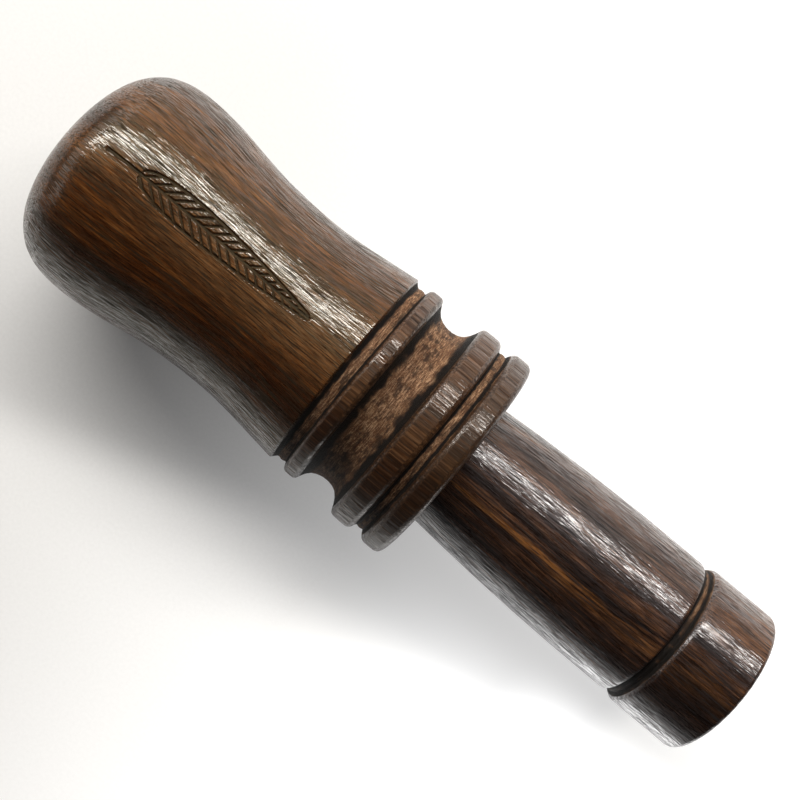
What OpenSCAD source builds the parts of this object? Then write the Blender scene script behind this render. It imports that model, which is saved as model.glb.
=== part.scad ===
/* [Barrel] */
// Length of the barrel from the mouth rim to the joint face
barrel_len = 75.9; // [74:0.1:84]
// Largest diameter of the barrel, at the mouth-end bulb
barrel_d = 38.1; // [37:0.1:41]
// Diameter of the mouth chamber
mouth_d = 18; // [17.8:0.1:18.6]
// Depth of the mouth chamber from the rim
mouth_depth = 15; // [10:0.5:17]
// Diameter of the air bore behind the mouth chamber
air_bore_d = 17.5; // [16:0.1:17.6]
// Diameter of the socket for the insert's tenon
socket_d = 19.05; // [18.8:0.05:19.6]

/* [Insert] */
// Length of the insert outside the barrel
insert_len = 53.8; // [52:0.1:60]
// Diameter of the collar at the exhaust end
collar_d = 25.94; // [25:0.02:28]
// Length of the tenon inside the barrel
tenon_len = 23.8; // [22:0.1:24.5]
// Radial clearance between tenon and socket
tenon_clear = 0.075; // [0.03:0.005:0.1]
// Diameter of the sound passage
passage_d = 9; // [7:0.5:10]
// Diameter of the exhaust mouth
exhaust_d = 16.4; // [14:0.2:18]

/* [Sound unit] */
// Diameter of the sound board's root
board_d = 12.7; // [12:0.1:12.7]
// Radial clearance of the root in the insert
board_clear = 0.05; // [0.02:0.01:0.1]
// Length of the sound board
board_len = 50.8; // [46:0.2:52]
// Height of the reed table above the axis
table_z = 0.8; // [0.4:0.1:1.2]
// Width of the tone channel
channel_w = 5.2; // [4:0.2:6]
// Width of the reeds
reed_w = 11; // [9:0.5:11]
// Thickness of each reed
reed_t = 0.25; // [0.2:0.05:0.3]
// Length of the lower reed
reed_len = 41.3; // [36:0.1:42]
// Length of the wedge
wedge_len = 9.4; // [8:0.2:10]

/* [Seals] */
// Cord diameter of an O-ring as fitted
ring_cord = 1.58; // [1.4:0.02:1.58]
// Clearance outside a fitted O-ring
ring_clear = 0.025; // [0.02:0.005:0.05]

/* [Hidden] */

joint_gap = 0.1;                                   // line between barrel and insert
total_len = barrel_len + joint_gap + insert_len;
x0 = -total_len/2;                                 // mouth rim in the frame
axis_z = barrel_d/2;                               // the call lies on its side
tenon_r = socket_d/2 - tenon_clear;
tenon_start = barrel_len + joint_gap - tenon_len;
board_r = board_d/2;
board_seat_r = board_r + board_clear;
board_end = tenon_start + 17.6;                    // back of the root
board_tip = board_end - board_len;
board_seat_end = board_end + 0.2;
slot_back = board_end - 7.6;                       // rear wall of the reed slot
lift = 0.02;                                       // film-thin gaps between stacked parts
ring_groove_r = tenon_r - 1.55;
ring_r = socket_d/2 - ring_clear;                  // outside of a fitted O-ring
ring_w = 2;                                        // width of an O-ring groove
ring_at = [tenon_start + 5, tenon_start + 15.5];   // groove centres

// Barrel outline: distance from the rim and radius, for a 75.9 x 38.1 mm barrel
grip = [[0, 11], [0.25, 12.2], [0.95, 13.9], [1.8, 15.3], [3, 16.6], [4.6, 17.75],
        [6.7, 18.55], [9, 18.95], [12, 19.05], [15.5, 18.8], [19, 18.35], [23, 17.65],
        [27, 17.05], [31, 16.7], [35, 16.5], [39.5, 16.5], [44, 16.85], [48.5, 17.4],
        [53.3, 18]];
groove_1 = [[53.7, 17.45], [54.3, 17.1], [55.2, 17.05], [55.8, 17.5]];
ring_a = [[56.1, 18], [56.5, 18.22], [58.05, 18.22], [58.45, 18]];
cove = [[58.9, 17.2], [59.5, 16.3], [60.4, 15.55], [61.5, 15.15], [62.6, 15.1],
        [63.8, 15.35], [64.7, 16], [65.4, 17], [65.9, 18.2]];
ring_b = [[66.2, 18.6], [66.8, 18.75], [69.2, 18.75], [69.8, 18.4]];
groove_2 = [[70.2, 17.8], [70.8, 17.45], [71.4, 17.5], [71.9, 18]];
ring_c = [[72.3, 18.6], [72.9, 18.88], [74.9, 18.88], [75.5, 18.6], [75.8, 18.1], [75.9, 17.6]];

// Insert outline: distance from the shoulder and radius, for a 53.8 x 25.94 mm insert
tube = [[0, 11.05], [4, 11.35], [8, 11.62], [14, 11.95], [20, 12.2], [27, 12.38],
        [33, 12.45], [39.5, 12.45]];
groove_3 = [[39.95, 12.38], [40.3, 12], [40.8, 11.9], [41.3, 12.05], [41.8, 12.55]];
collar = [[42.2, 12.88], [42.7, 12.97], [53.2, 12.97], [53.6, 12.8], [53.8, 12.4]];

function spline(a, b, c, d, t) =
    0.5*(2*b + (c - a)*t + (2*a - 5*b + 4*c - d)*t*t + (3*b - a - 3*c + d)*t*t*t);
function smooth(p, n) = concat(
    [for (i = [0:len(p) - 2], k = [0:n - 1])
        spline(p[max(i - 1, 0)], p[i], p[i + 1], p[min(i + 2, len(p) - 1)], k/n)],
    [p[len(p) - 1]]);
function scaled(p, sx, sr) = [for (q = p) [q[0]*sx, q[1]*sr]];

// Body of revolution about the call's axis, from points [distance, radius]
module turned(p, at = 0)
    translate([x0 + at, 0, axis_z]) rotate([0, 90, 0])
        rotate_extrude($fn = 144) polygon([for (q = p) [q[1], q[0]]]);

// Round bar or hole about the axis
module bar(from, to, r, r2 = -1, dz = 0)
    translate([x0 + from, 0, axis_z + dz]) rotate([0, 90, 0])
        cylinder(h = to - from, r1 = r, r2 = r2 < 0 ? r : r2, $fn = 144);

module barrel() {
    sx = barrel_len/75.9;
    sr = barrel_d/38.1;
    outline = concat(smooth(grip, 2), groove_1, ring_a, cove, ring_b, groove_2, ring_c);
    color("#4a2f20") difference() {
        turned(concat([[0, 0]], scaled(outline, sx, sr), [[barrel_len, 0]]));
        // dished lip, mouth chamber, air bore, socket and its lead-in
        bar(-0.01, 2.2, mouth_d/2 + 1.2, mouth_d/2);
        bar(-1, mouth_depth, mouth_d/2);
        bar(mouth_depth - 1, tenon_start, air_bore_d/2);
        bar(tenon_start - 1, barrel_len + 1, socket_d/2);
        bar(barrel_len - 0.6, barrel_len + 0.01, socket_d/2, socket_d/2 + 0.6);
    }
}

module insert() {
    sx = insert_len/53.8;
    sr = collar_d/25.94;
    outline = concat(smooth(tube, 2), groove_3, collar);
    shoulder = barrel_len + joint_gap;
    end = shoulder + insert_len;
    color("#43291b") difference() {
        union() {
            turned(concat([[0, 0]], scaled(outline, sx, sr), [[insert_len, 0]]), shoulder);
            bar(tenon_start, tenon_start + 0.6, tenon_r - 0.5, tenon_r);
            bar(tenon_start + 0.6, shoulder + 1, tenon_r);
        }
        // seat of the sound board, sound passage, flare and exhaust mouth
        bar(tenon_start - 1, board_seat_end, board_seat_r);
        bar(board_seat_end - 1, end + 1, passage_d/2);
        bar(end - 26, end - 11, passage_d/2, exhaust_d/2);
        bar(end - 11.01, end + 1, exhaust_d/2);
        bar(end - 1, end + 0.01, exhaust_d/2, exhaust_d/2 + 1);
        // grooves of the two O-rings
        for (x = ring_at) difference() {
            bar(x - ring_w/2, x + ring_w/2, tenon_r + 1);
            bar(x - ring_w, x + ring_w, ring_groove_r);
        }
    }
}

// Side outline of the sound board: root, reed slot, flat table, curved table, tip
module tone_board() {
    flat_end = board_tip + 18;
    curve_r = 118;
    color("#e3dcc8") difference() {
        intersection() {
            bar(board_tip, board_end, board_r);
            translate([x0, board_d, axis_z]) rotate([90, 0, 0]) linear_extrude(2*board_d)
                polygon(concat(
                    [[board_tip, -4.4], [board_tip + 12, -board_r - 1],
                     [board_end + 1, -board_r - 1], [board_end + 1, board_r + 1],
                     [slot_back, board_r + 1], [slot_back, table_z], [flat_end, table_z]],
                    [for (k = [1:9]) let (d = 2*k)
                        [flat_end - d, table_z - curve_r + sqrt(curve_r*curve_r - d*d)]]));
        }
        bar(board_tip + 4, board_end + 1, channel_w/2, dz = table_z - channel_w/2);
        translate([x0 + board_tip + 4, -channel_w/2, axis_z + table_z - channel_w/2])
            cube([slot_back - board_tip - 6, channel_w, channel_w]);
    }
}

// Film reed with a bowed tip, lying on the table
module reed(len, level) {
    back = slot_back - 0.2;
    translate([x0, 0, axis_z + table_z + level]) linear_extrude(reed_t) intersection() {
        translate([back - len, -reed_w/2]) square([len, reed_w]);
        translate([back - len + 14, 0]) circle(r = 14, $fn = 96);
        }
    translate([x0 + back - len + 10, -reed_w/2, axis_z + table_z + level])
        cube([len - 10, reed_w, reed_t]);
}

module lower_reed() color("#e9e6d8") reed(reed_len, lift);
module upper_reed() color("#dfe3e6") reed(reed_len - 3, 2*lift + reed_t);

// Cork block with a flat underside and a round back
module reed_wedge() {
    base = table_z + 3*lift + 2*reed_t;
    color("#b98a5a") intersection() {
        bar(slot_back - 0.2 - wedge_len, slot_back - 0.2, board_r - 0.05);
        translate([x0 + slot_back - 20, -board_d, axis_z + base]) cube([20, 2*board_d, board_d]);
    }
}

module o_ring(x)
    translate([x0 + x, 0, axis_z]) rotate([0, 90, 0])
        rotate_extrude($fn = 144) translate([ring_r - ring_cord/2, 0])
            circle(d = ring_cord, $fn = 32);

module inner_o_ring() color("#1c1c1c") o_ring(ring_at[0]);
module outer_o_ring() color("#1c1c1c") o_ring(ring_at[1]);

barrel();
insert();
tone_board();
lower_reed();
upper_reed();
reed_wedge();
inner_o_ring();
outer_o_ring();
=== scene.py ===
import math

import bmesh
import bpy
import numpy as np
from mathutils import Matrix, Vector


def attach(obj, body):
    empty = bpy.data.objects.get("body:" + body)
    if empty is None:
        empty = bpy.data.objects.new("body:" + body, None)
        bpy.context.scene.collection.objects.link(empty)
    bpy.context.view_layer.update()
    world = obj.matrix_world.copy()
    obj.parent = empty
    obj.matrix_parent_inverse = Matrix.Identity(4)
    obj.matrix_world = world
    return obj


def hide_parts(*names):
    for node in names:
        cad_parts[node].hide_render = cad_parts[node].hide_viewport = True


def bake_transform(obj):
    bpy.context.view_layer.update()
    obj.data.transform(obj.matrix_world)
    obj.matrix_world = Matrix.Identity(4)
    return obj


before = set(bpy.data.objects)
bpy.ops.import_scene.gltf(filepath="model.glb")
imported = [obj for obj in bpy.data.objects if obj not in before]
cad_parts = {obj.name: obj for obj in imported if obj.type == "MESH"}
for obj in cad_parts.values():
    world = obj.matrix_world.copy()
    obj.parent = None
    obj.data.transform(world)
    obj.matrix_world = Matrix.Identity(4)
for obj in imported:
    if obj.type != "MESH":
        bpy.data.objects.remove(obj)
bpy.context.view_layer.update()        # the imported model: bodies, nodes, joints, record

MM = 0.001
X0 = -64.9               # mouth rim, mm
AX = 19.05               # height of the call's axis, mm
SHOULDER = 76.0          # insert's shoulder, mm from the rim
TENON = 52.2             # start of the insert's tenon
BOARD_TIP, BOARD_END = 19.0, 69.8
SLOT_BACK = 62.2
TABLE = 0.8              # reed table above the axis
rng = np.random.RandomState(11)


# ---------------------------------------------------------------- camera
def make_camera():
    """Looks straight down on the lying call, turned so that its axis runs down to the right."""
    turn = math.radians(39.9)
    px = 1 / 6.375                               # mm per pixel at the axis
    cam = bpy.data.cameras.new("camera")
    cam.sensor_fit = "HORIZONTAL"
    cam.sensor_width = 36
    cam.lens = 36 * 1220 / 800
    cam.shift_x = 7.3 / 800
    cam.shift_y = -7.65 / 800
    cam.clip_start = 0.01
    cam.clip_end = 20
    ob = bpy.data.objects.new("camera", cam)
    bpy.context.scene.collection.objects.link(ob)
    ob.location = ((X0 + 61.5) * MM, 12.8 * px * MM, (AX + 1220 * px) * MM)
    ob.rotation_euler = (0, 0, turn)
    bpy.context.scene.camera = ob
    return ob


make_camera()


# ---------------------------------------------------------------- small tools
def spline(p, n):
    """Smooth curve through given points, n steps a span."""
    p = np.asarray(p, float)
    out = []
    for i in range(len(p) - 1):
        a, b, c, d = p[max(i - 1, 0)], p[i], p[i + 1], p[min(i + 2, len(p) - 1)]
        for k in range(n):
            t = k / n
            out.append(0.5 * (2 * b + (c - a) * t + (2 * a - 5 * b + 4 * c - d) * t * t
                              + (3 * b - a - 3 * c + d) * t ** 3))
    out.append(p[-1])
    return np.array(out)


def resample(p, step):
    """Even spacing along a polyline, ends kept."""
    p = np.asarray(p, float)
    s = np.concatenate([[0], np.cumsum(np.hypot(*np.diff(p, axis=0).T))])
    n = max(2, int(round(s[-1] / step)) + 1)
    q = np.linspace(0, s[-1], n)
    return np.column_stack([np.interp(q, s, p[:, 0]), np.interp(q, s, p[:, 1])])


def soften(p, passes, lock=1):
    """Rounds a densely sampled outline; the ends stay."""
    p = p.copy()
    for _ in range(passes):
        q = p.copy()
        q[1:-1] = 0.25 * p[:-2] + 0.5 * p[1:-1] + 0.25 * p[2:]
        p[lock:-lock] = q[lock:-lock]
    return p


def table_noise(shape, seed):
    return np.random.RandomState(seed).rand(*shape)


def value_noise(u, v, seed, size=64):
    """Smooth noise from 0 to 1 over the plane, repeating every size cells."""
    t = table_noise((size, size), seed)
    iu, iv = np.floor(u).astype(int), np.floor(v).astype(int)
    fu, fv = u - iu, v - iv
    fu, fv = fu * fu * (3 - 2 * fu), fv * fv * (3 - 2 * fv)
    g = lambda a, b: t[a % size, b % size]
    return ((g(iu, iv) * (1 - fu) + g(iu + 1, iv) * fu) * (1 - fv)
            + (g(iu, iv + 1) * (1 - fu) + g(iu + 1, iv + 1) * fu) * fv)


def smoothstep(a, b, x):
    t = np.clip((x - a) / (b - a), 0, 1)
    return t * t * (3 - 2 * t)


def link(ob):
    bpy.context.scene.collection.objects.link(ob)
    return ob


def turned(name, x, r, angles, materials, row_material=None, shade=None, sharp=32, patch=None):
    """Closed ring of revolution. x, r: rows by columns in mm; the last row joins the first.
    patch: where 1, the third material takes over."""
    n, m = r.shape
    ph = np.asarray(angles)[None, :]
    co = np.stack([np.broadcast_to(X0 + x, r.shape), r * np.sin(ph), AX + r * np.cos(ph)], -1)
    co = (co * MM).reshape(-1, 3)
    i, j = np.meshgrid(np.arange(n), np.arange(m), indexing="ij")
    i2, j2 = (i + 1) % n, (j + 1) % m
    quads = np.stack([i * m + j, i2 * m + j, i2 * m + j2, i * m + j2], -1).reshape(-1, 4)
    me = bpy.data.meshes.new(name)
    me.from_pydata(co.tolist(), [], quads.tolist())
    for mat in materials:
        me.materials.append(mat)
    if row_material is not None:
        idx = np.repeat(np.asarray(row_material, np.int32), m)
        if patch is not None:
            near = np.minimum.reduce([patch, np.roll(patch, -1, 0), np.roll(patch, -1, 1), np.roll(patch, (-1, -1), (0, 1))])
            idx = np.where(near.ravel() > 0.5, 2, idx).astype(np.int32)
        me.polygons.foreach_set("material_index", idx)
    me.polygons.foreach_set("use_smooth", np.ones(len(quads), bool))
    a = me.attributes.new("shade", "FLOAT", "POINT")
    a.data.foreach_set("value", (np.zeros(n * m) if shade is None else np.broadcast_to(shade, r.shape).ravel()).astype(np.float32))
    me.update()
    me.set_sharp_from_angle(angle=math.radians(sharp))
    return link(bpy.data.objects.new(name, me))


# ---------------------------------------------------------------- shader tools
class Graph:
    def __init__(self, name):
        self.mat = bpy.data.materials.new(name)
        self.mat.use_nodes = True
        self.t = self.mat.node_tree
        self.bsdf = self.t.nodes["Principled BSDF"]
        self.out = self.t.nodes["Material Output"]

    def node(self, kind, **props):
        n = self.t.nodes.new(kind)
        for k, v in props.items():
            setattr(n, k, v)
        return n

    def put(self, socket, value):
        if isinstance(value, bpy.types.NodeSocket):
            self.t.links.new(value, socket)
        elif value is not None:
            socket.default_value = value

    def math(self, op, a, b=None, c=None, clamp=False):
        n = self.node("ShaderNodeMath", operation=op, use_clamp=clamp)
        self.put(n.inputs[0], a)
        self.put(n.inputs[1], b)
        self.put(n.inputs[2], c)
        return n.outputs[0]

    def vec(self, op, a, b=None, scale=None):
        n = self.node("ShaderNodeVectorMath", operation=op)
        self.put(n.inputs[0], a)
        self.put(n.inputs[1], b)
        if scale is not None:
            n.inputs["Scale"].default_value = scale
        return n.outputs["Value"] if op == "LENGTH" else n.outputs[0]

    def xyz(self, v):
        n = self.node("ShaderNodeSeparateXYZ")
        self.put(n.inputs[0], v)
        return n.outputs

    def join(self, x, y, z):
        n = self.node("ShaderNodeCombineXYZ")
        for s, v in zip(n.inputs, (x, y, z)):
            self.put(s, v)
        return n.outputs[0]

    def noise(self, v, scale=1.0, detail=2.0, rough=0.5, distortion=0.0, colour=False):
        n = self.node("ShaderNodeTexNoise")
        self.put(n.inputs["Vector"], v)
        n.inputs["Scale"].default_value = scale
        n.inputs["Detail"].default_value = detail
        n.inputs["Roughness"].default_value = rough
        n.inputs["Distortion"].default_value = distortion
        return n.outputs["Color" if colour else "Fac"]

    def remap(self, v, a, b, c=0.0, d=1.0, smooth=False):
        n = self.node("ShaderNodeMapRange", interpolation_type="SMOOTHSTEP" if smooth else "LINEAR")
        self.put(n.inputs["Value"], v)
        for k, s in (("From Min", a), ("From Max", b), ("To Min", c), ("To Max", d)):
            n.inputs[k].default_value = s
        return n.outputs["Result"]

    def ramp(self, fac, stops, mode="LINEAR"):
        n = self.node("ShaderNodeValToRGB")
        n.color_ramp.interpolation = mode
        e = n.color_ramp.elements
        while len(e) > 1:
            e.remove(e[-1])
        e[0].position, e[0].color = stops[0][0], (*stops[0][1], 1)
        for p, c in stops[1:]:
            k = e.new(p)
            k.color = (*c, 1)
        self.put(n.inputs[0], fac)
        return n.outputs["Color"]

    def mix(self, fac, a, b, blend="MIX"):
        n = self.node("ShaderNodeMix", data_type="RGBA", blend_type=blend)
        self.put(n.inputs[0], fac)
        for s, v in ((n.inputs[6], a), (n.inputs[7], b)):
            self.put(s, (*v, 1) if isinstance(v, tuple) and len(v) == 3 else v)
        return n.outputs[2]

    def attribute(self, name):
        return self.node("ShaderNodeAttribute", attribute_name=name).outputs["Fac"]

    def bump(self, height, distance, strength=1.0, normal=None):
        n = self.node("ShaderNodeBump")
        n.inputs["Strength"].default_value = strength
        n.inputs["Distance"].default_value = distance
        self.put(n.inputs["Height"], height)
        self.put(n.inputs["Normal"], normal)
        return n.outputs[0]

    def spin(self, v, centre, angle):
        n = self.node("ShaderNodeVectorRotate", rotation_type="X_AXIS")
        self.put(n.inputs["Vector"], v)
        n.inputs["Center"].default_value = centre
        n.inputs["Angle"].default_value = angle
        return n.outputs[0]

    def mm(self):
        """Object coordinates in millimetres."""
        tc = self.node("ShaderNodeTexCoord")
        return self.vec("SCALE", tc.outputs["Object"], scale=1000.0)


RED_BROWN = [(0.32, (0.0100, 0.0028, 0.0007)), (0.44, (0.022, 0.0056, 0.0011)), (0.51, (0.038, 0.0104, 0.0019)),
             (0.58, (0.059, 0.0180, 0.0034)), (0.72, (0.100, 0.0370, 0.0085))]
BLACK_BROWN = [(0.34, (0.0040, 0.0020, 0.0013)), (0.44, (0.013, 0.0056, 0.0030)), (0.51, (0.030, 0.0128, 0.0064)),
               (0.58, (0.053, 0.0230, 0.0105)), (0.70, (0.098, 0.0440, 0.0190))]


def wood(name, pith, shift, tones, sheen, kind="lacquer", warm=1.0, streak=1.0, lit_side_lean=0.0, turn=0.0, bore=17.5):
    """Dark streaked hardwood, grain along X. pith: where the growth rings centre, in Y and Z, mm.
    turn: how far the figure is turned about the call's axis, degrees. bore: typical radius of the piece, mm."""
    g = Graph(name)
    p = g.mm()
    x, y, z = g.xyz(p)
    if turn:
        p = g.spin(p, (0, 0, AX), math.radians(turn))
    # slow wander of the grain
    sway = g.noise(g.vec("MULTIPLY", g.vec("ADD", p, (shift, 0, 0)), (0.018, 0.05, 0.05)), detail=1.0, colour=True)
    sway = g.vec("SCALE", g.vec("SUBTRACT", sway, (0.5, 0.5, 0.5)), scale=9.0)
    q = g.vec("ADD", p, sway)
    _, qy, qz = g.xyz(q)
    dy, dz = g.math("SUBTRACT", qy, pith[0]), g.math("SUBTRACT", qz, pith[1])
    d = g.math("SQRT", g.math("ADD", g.math("MULTIPLY", dy, dy), g.math("MULTIPLY", dz, dz)))
    ang = g.math("MULTIPLY", g.math("ARCTAN2", dz, dy), 30.0)
    xs = g.math("ADD", x, shift)
    # straight-grained stock: the fine lines run with the turned surface, and end in dots where it turns across the grain
    _, ry, rz = g.xyz(g.vec("SUBTRACT", p, (0.0, 0.0, AX)))
    out = g.join(0.0, ry, rz)
    across = g.remap(g.math("ABSOLUTE", g.xyz(g.node("ShaderNodeTexCoord").outputs["Normal"])[0]), 0.16, 0.62, smooth=True)
    reach = g.math("ADD", g.math("MULTIPLY", g.math("SUBTRACT", g.vec("LENGTH", out), bore), across), bore)
    w = g.vec("MULTIPLY", g.vec("NORMALIZE", out), reach)
    w = g.vec("ADD", g.vec("ADD", w, g.join(xs, 0.0, 0.0)), g.vec("SCALE", sway, scale=0.14))
    rings = g.join(d, g.math("MULTIPLY", xs, 0.03), g.math("MULTIPLY", ang, 0.12))
    bands = g.noise(rings, scale=0.26, detail=3.0, rough=0.6, distortion=0.3)
    lines = g.noise(rings, scale=1.5, detail=3.0, rough=0.65)
    fibre = g.noise(g.vec("MULTIPLY", w, (0.11, 2.6, 2.6)), detail=3.0, rough=0.60)
    tone = g.math("ADD", g.math("MULTIPLY", bands, 0.66), g.math("MULTIPLY", lines, 0.34))
    tone = g.math("ADD", tone, g.math("MULTIPLY", g.math("SUBTRACT", fibre, 0.5), 0.46))
    tone = g.math("ADD", tone, g.math("MULTIPLY", y, lit_side_lean))          # painted light: paler towards +Y, the side the key light falls on
    colour = g.ramp(tone, tones)
    # warm streaks that follow the rings, and near-black ones
    gold = g.remap(g.noise(g.vec("ADD", rings, (71.0, 3.0, 5.0)), scale=0.34, detail=2.0), 0.54, 0.68, smooth=True)
    gold = g.math("MULTIPLY", gold, g.remap(lines, 0.40, 0.60, smooth=True))
    gold = g.math("MULTIPLY", gold, g.remap(x, 26.0, 50.0, 1.0, 0.40))
    colour = g.mix(g.math("MULTIPLY", gold, 0.50 * warm), colour, (0.20, 0.078, 0.018))
    ink = g.remap(g.noise(g.vec("ADD", rings, (13.0, 31.0, 2.0)), scale=0.5, detail=3.0), 0.56, 0.66, smooth=True)
    colour = g.mix(g.math("MULTIPLY", ink, 0.80 * streak), colour, (0.0060, 0.0035, 0.0028))
    if name.startswith("wood_barrel"):
        # paler sapwood figure along the top of the grip
        pale_side = g.math("MULTIPLY", g.remap(g.math("ABSOLUTE", g.math("ADD", y, 0.6)), 0.5, 6.0, 1.0, 0.0, smooth=True),
                           g.remap(x, -58.0, -34.0, 0.25, 1.0, smooth=True))
        pale_side = g.math("MULTIPLY", pale_side, g.remap(z, AX, AX + 6.0, 0.0, 1.0))
        colour = g.mix(g.math("MULTIPLY", pale_side, 0.34), colour, (0.125, 0.062, 0.024))
    else:
        # painted shade: the insert is darker on the -Y side of its collar, the side away from the key light
        collar_painted_shade = g.math("MULTIPLY", g.remap(x, 50.5, 53.5, 0.0, 1.0, smooth=True), g.remap(y, 1.5, -3.0, 0.0, 1.0, smooth=True))
        colour = g.mix(g.math("MULTIPLY", collar_painted_shade, 0.50), colour, (0.0060, 0.0030, 0.0018))
    # flecks and open pores: short dashes along the grain
    dash = g.noise(g.vec("MULTIPLY", w, (0.36, 4.6, 4.6)), detail=2.0, rough=0.6)
    colour = g.mix(1.0, colour, g.ramp(dash, [(0.36, (0.54, 0.51, 0.48)), (0.50, (1.0, 1.0, 1.0)),
                                              (0.65, (1.50, 1.58, 1.68))]), blend="MULTIPLY")
    # long vessel lines, some a centimetre long
    line = g.noise(g.vec("MULTIPLY", w, (0.075, 3.6, 3.6)), detail=1.0, rough=0.5)
    line = g.remap(line, 0.590, 0.630, smooth=True)
    faint = 0.5 if kind == "crest" else 1.0
    colour = g.mix(g.math("MULTIPLY", line, 0.60 * faint), colour, (0.0060, 0.0028, 0.0015))
    pore = g.noise(g.vec("MULTIPLY", w, (0.22, 5.6, 5.6)), detail=1.0, rough=0.4)
    pore = g.remap(pore, 0.575, 0.630, smooth=True)
    fine = g.remap(g.noise(g.vec("MULTIPLY", p, (1.1, 8.0, 8.0)), detail=1.0), 0.60, 0.68, smooth=True)
    holes = g.math("MAXIMUM", pore, g.math("MULTIPLY", fine, 0.6))
    colour = g.mix(g.math("MULTIPLY", holes, 0.78 * faint), colour, (0.0040, 0.0020, 0.0013))
    shade = g.attribute("shade")
    if kind == "burnt":
        # floor of the carving: scorched, with the grain still showing
        ash = g.noise(p, scale=3.0, detail=3.0, rough=0.7)
        tan = g.mix(g.remap(dash, 0.38, 0.62), (0.012, 0.0055, 0.0028), (0.110, 0.062, 0.026))
        colour = g.mix(g.remap(ash, 0.35, 0.65, 0.45, 0.9), colour, tan)
        colour = g.mix(shade, colour, (0.0034, 0.0022, 0.0015))
        g.put(g.bsdf.inputs["Normal"], g.bump(g.math("ADD", dash, ash), 0.00006, 0.8))
        g.put(g.bsdf.inputs["Roughness"], g.remap(ash, 0.3, 0.7, 0.40, 0.60))
        g.bsdf.inputs["Specular IOR Level"].default_value = 0.16
        g.bsdf.inputs["Specular Tint"].default_value = (*sheen, 1)
    elif kind == "end":
        # sanded end grain: dark, with the rings in section and the pores as dots
        rings_cut = g.noise(g.join(d, g.math("MULTIPLY", ang, 0.05), 4.0), scale=1.1, detail=3.0, rough=0.6)
        colour = g.mix(0.55, colour, g.ramp(rings_cut, [(0.38, tuple(c * 0.35 for c in tones[1][1])), (0.60, tones[3][1])]))
        dots = g.remap(g.noise(p, scale=5.5, detail=1.0), 0.60, 0.68, smooth=True)
        colour = g.mix(g.math("MULTIPLY", dots, 0.75), colour, (0.0050, 0.0028, 0.0020))
        height = g.math("SUBTRACT", g.math("MULTIPLY", g.noise(p, scale=3.0, detail=2.0), 0.6), dots)
        g.put(g.bsdf.inputs["Normal"], g.bump(height, 0.00002, 0.8))
        g.put(g.bsdf.inputs["Roughness"], g.remap(rings_cut, 0.35, 0.65, 0.46, 0.60))
        g.bsdf.inputs["Specular IOR Level"].default_value = 0.16
    elif kind == "cut":
        # matt, fuzzy wood on the floors of the turned grooves
        fuzz = g.noise(p, scale=4.2, detail=4.0, rough=0.75)
        rub = g.noise(g.vec("MULTIPLY", p, (7.0, 0.7, 0.7)), detail=2.0)
        blot = g.noise(g.vec("MULTIPLY", p, (0.5, 0.35, 0.35)), detail=2.0)
        pale = g.ramp(g.math("ADD", g.math("MULTIPLY", fuzz, 0.5), g.math("MULTIPLY", rub, 0.5)),
                      [(0.38, (0.034, 0.0140, 0.0065)), (0.50, (0.118, 0.060, 0.030)), (0.62, (0.33, 0.205, 0.120))])
        # painted light and shade: the groove floors are paler towards +Y, where the key light falls, and darker towards
        # -Y
        side = g.remap(y, -13.0, 13.0, 0.66, 1.30)
        pale = g.mix(1.0, pale, g.join(side, side, side), blend="MULTIPLY")
        colour = g.mix(g.remap(blot, 0.35, 0.65, 0.45, 0.90), colour, pale)
        soot = g.remap(g.noise(g.vec("MULTIPLY", p, (0.9, 0.45, 0.45)), detail=3.0, rough=0.65), 0.50, 0.62, smooth=True)
        colour = g.mix(g.math("MULTIPLY", soot, 0.72), colour, (0.010, 0.0052, 0.0030))
        # darkening from the shade attribute: stain and burn lines in the grooves, painted shade inside the barrel's
        # bore and on the -Y side of the collar's groove
        ragged = g.math("ADD", shade, g.math("MULTIPLY", g.math("SUBTRACT", g.math("ADD", fuzz, rub), 1.0), 0.85))
        stain_and_shade = g.remap(ragged, 0.14, 0.86, 0.0, 0.98, smooth=True)
        colour = g.mix(stain_and_shade, colour, (0.0024, 0.0018, 0.0014))
        height = g.math("ADD", g.math("MULTIPLY", fuzz, 0.8), g.math("MULTIPLY", rub, 0.6))
        g.put(g.bsdf.inputs["Normal"], g.bump(height, 0.00022, 0.8))
        g.put(g.bsdf.inputs["Roughness"], g.remap(fuzz, 0.3, 0.7, 0.55, 0.8))
        g.bsdf.inputs["Specular IOR Level"].default_value = 0.14
    else:
        colour = g.mix(shade, colour, (0.0042, 0.0028, 0.0020))
        # lacquer: nearly level, with the pores and fibres just telegraphing through
        swell = g.noise(g.vec("MULTIPLY", p, (0.12, 0.8, 0.8)), detail=0.0)
        grain = g.noise(g.vec("MULTIPLY", w, (0.50, 5.6, 5.6)), detail=1.0, rough=0.6)
        long = g.noise(g.vec("MULTIPLY", w, (0.10, 3.0, 3.0)), detail=0.0)
        height = g.math("ADD", g.math("MULTIPLY", grain, 0.66), g.math("MULTIPLY", long, 0.36))
        height = g.math("ADD", height, g.math("MULTIPLY", swell, 0.8))
        if kind == "crest":
            rib = g.noise(g.vec("MULTIPLY", w, (0.07, 2.6, 2.6)), detail=3.0, rough=0.66)
            height = g.math("ADD", height, g.math("MULTIPLY", rib, 0.34))
        normal = g.bump(height, 0.000050, 1.0)
        g.put(g.bsdf.inputs["Normal"], normal)
        g.bsdf.inputs["Specular IOR Level"].default_value = 0.23 if kind == "crest" else 0.30
        g.bsdf.inputs["Specular Tint"].default_value = (*sheen, 1)
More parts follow.
